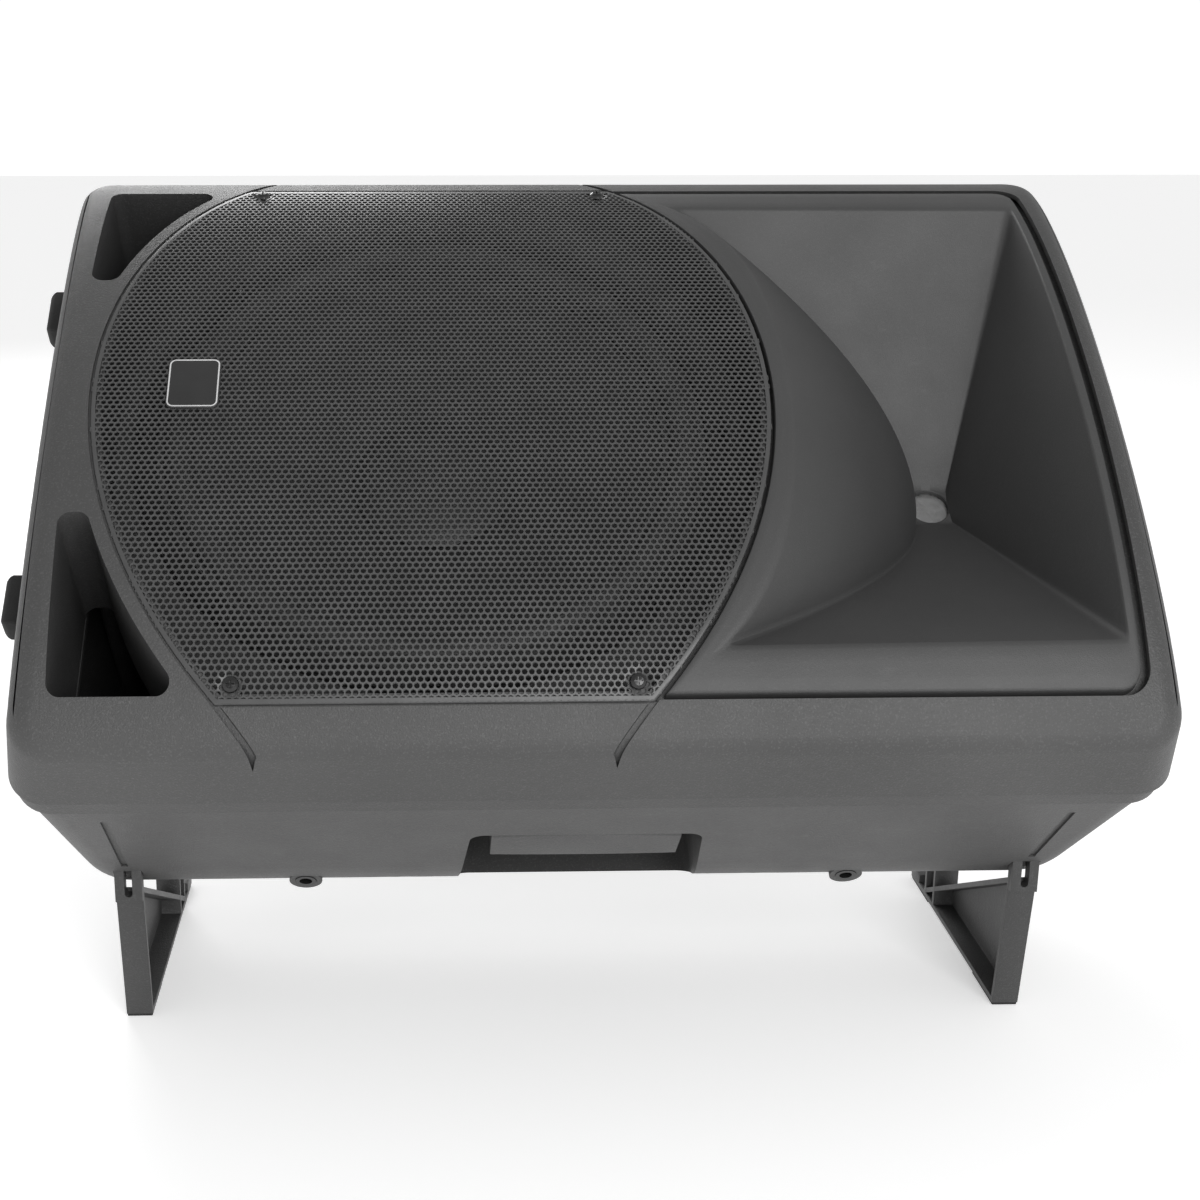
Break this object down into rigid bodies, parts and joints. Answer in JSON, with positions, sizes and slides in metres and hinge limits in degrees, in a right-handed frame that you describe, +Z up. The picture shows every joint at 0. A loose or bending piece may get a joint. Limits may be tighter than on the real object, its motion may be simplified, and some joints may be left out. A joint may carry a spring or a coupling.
{
  "type": "stage monitor wedge",
  "caption": "Moulded two-way stage monitor lying on its side on clip-on legs, with a bowed round-ended grille, corner ports and a wide horn.",
  "frame": {"origin": "centre of the footprint box, on the floor under the legs", "axes": "+X along the cabinet towards the horn end, +Y towards the back, +Z up"},
  "size_m": [0.709, 0.4838, 0.5431],
  "materials": {
    "shell_plastic": "fine moulded texture",
    "horn_plastic": "satin",
    "leg_plastic": "fine moulded texture",
    "black_plastic": "satin",
    "knob_plastic": "satin",
    "black_rubber": "matt",
    "grille_black": "powder coated",
    "steel_mesh": "fine mesh",
    "cast_metal": "cast",
    "titanium": "satin",
    "magnet_black": "matt",
    "frame_black": "painted",
    "spider_cloth": "impregnated cloth",
    "zinc_steel": "zinc plated",
    "screw_black": "gloss black",
    "badge_black": "gloss with a light border",
    "panel_black": "powder coated",
    "heat_sink_black": "anodised",
    "board_green": "satin",
    "winding_tape": "glossy tape",
    "paper_cone": "pressed paper",
    "copper": "enamelled"
  },
  "bodies": {
    "cabinet": {"front_shell": "shell_plastic", "rear_shell": "shell_plastic", "shell_seal": "black_rubber", "horn_flare": "horn_plastic", "throat_screen": "steel_mesh", "driver_housing": "cast_metal", "driver_diaphragm": "titanium", "driver_magnet": "magnet_black", "driver_cap": "black_plastic", "woofer_basket": "frame_black", "woofer_gasket": "black_rubber", "woofer_surround": "black_rubber", "woofer_spider": "spider_cloth", "woofer_top_plate": "zinc_steel", "woofer_magnet": "magnet_black", "woofer_yoke": "zinc_steel", "woofer_screws": "screw_black", "grille": "grille_black", "grille_screws": "screw_black", "badge": "badge_black", "shell_screws": "screw_black", "handle_grip_upper": "shell_plastic", "handle_grip_lower": "shell_plastic", "fly_points": "zinc_steel", "pole_socket": "black_plastic", "rubber_feet": "black_rubber", "amp_panel": "panel_black", "heat_sink": "heat_sink_black", "potentiometers": "zinc_steel", "audio_sockets": "black_plastic", "mains_inlet": "black_plastic", "switch_frame": "black_plastic", "amp_board": "board_green", "transformer": "winding_tape", "panel_screws": "screw_black"},
    "cone": {"woofer_cone": "paper_cone", "woofer_dust_cap": "paper_cone", "voice_coil": "copper"},
    "knob_level": {"knob_level": "knob_plastic"},
    "knob_treble": {"knob_treble": "knob_plastic"},
    "knob_bass": {"knob_bass": "knob_plastic"},
    "rocker": {"power_rocker": "knob_plastic"},
    "leg_left": {"monitor_leg_left": "leg_plastic", "leg_pads_left": "black_rubber"},
    "leg_right": {"monitor_leg_right": "leg_plastic", "leg_pads_right": "black_rubber"}
  },
  "joints": [
    {"name": "cone_travel", "type": "slide", "parent": "cabinet", "child": "cone", "axis": [0, -0.6428, 0.766], "range_m": [-0.006, 0.006], "stiffness_N_per_m": 6000, "deforming": ["woofer_surround", "woofer_spider"]},
    {"name": "level_turn", "type": "hinge", "parent": "cabinet", "child": "knob_level", "pos_m": [0.0245, 0.17788, 0.19256], "axis": [0, -0.6428, 0.766], "range_deg": [-150, 150]},
    {"name": "treble_turn", "type": "hinge", "parent": "cabinet", "child": "knob_treble", "pos_m": [0.0585, 0.17788, 0.19256], "axis": [0, -0.6428, 0.766], "range_deg": [-150, 150]},
    {"name": "bass_turn", "type": "hinge", "parent": "cabinet", "child": "knob_bass", "pos_m": [0.0925, 0.17788, 0.19256], "axis": [0, -0.6428, 0.766], "range_deg": [-150, 150]},
    {"name": "power_tip", "type": "hinge", "parent": "cabinet", "child": "rocker", "pos_m": [0.0985, 0.08594, 0.11855], "axis": [0, 0.766, 0.6428], "range_deg": [0, 9]},
    {"name": "leg_left_release", "type": "slide", "parent": "cabinet", "child": "leg_left", "axis": [0, 0, -1], "range_m": [0, 0.06]},
    {"name": "leg_right_release", "type": "slide", "parent": "cabinet", "child": "leg_right", "axis": [0, 0, -1], "range_m": [0, 0.06]}
  ]
}
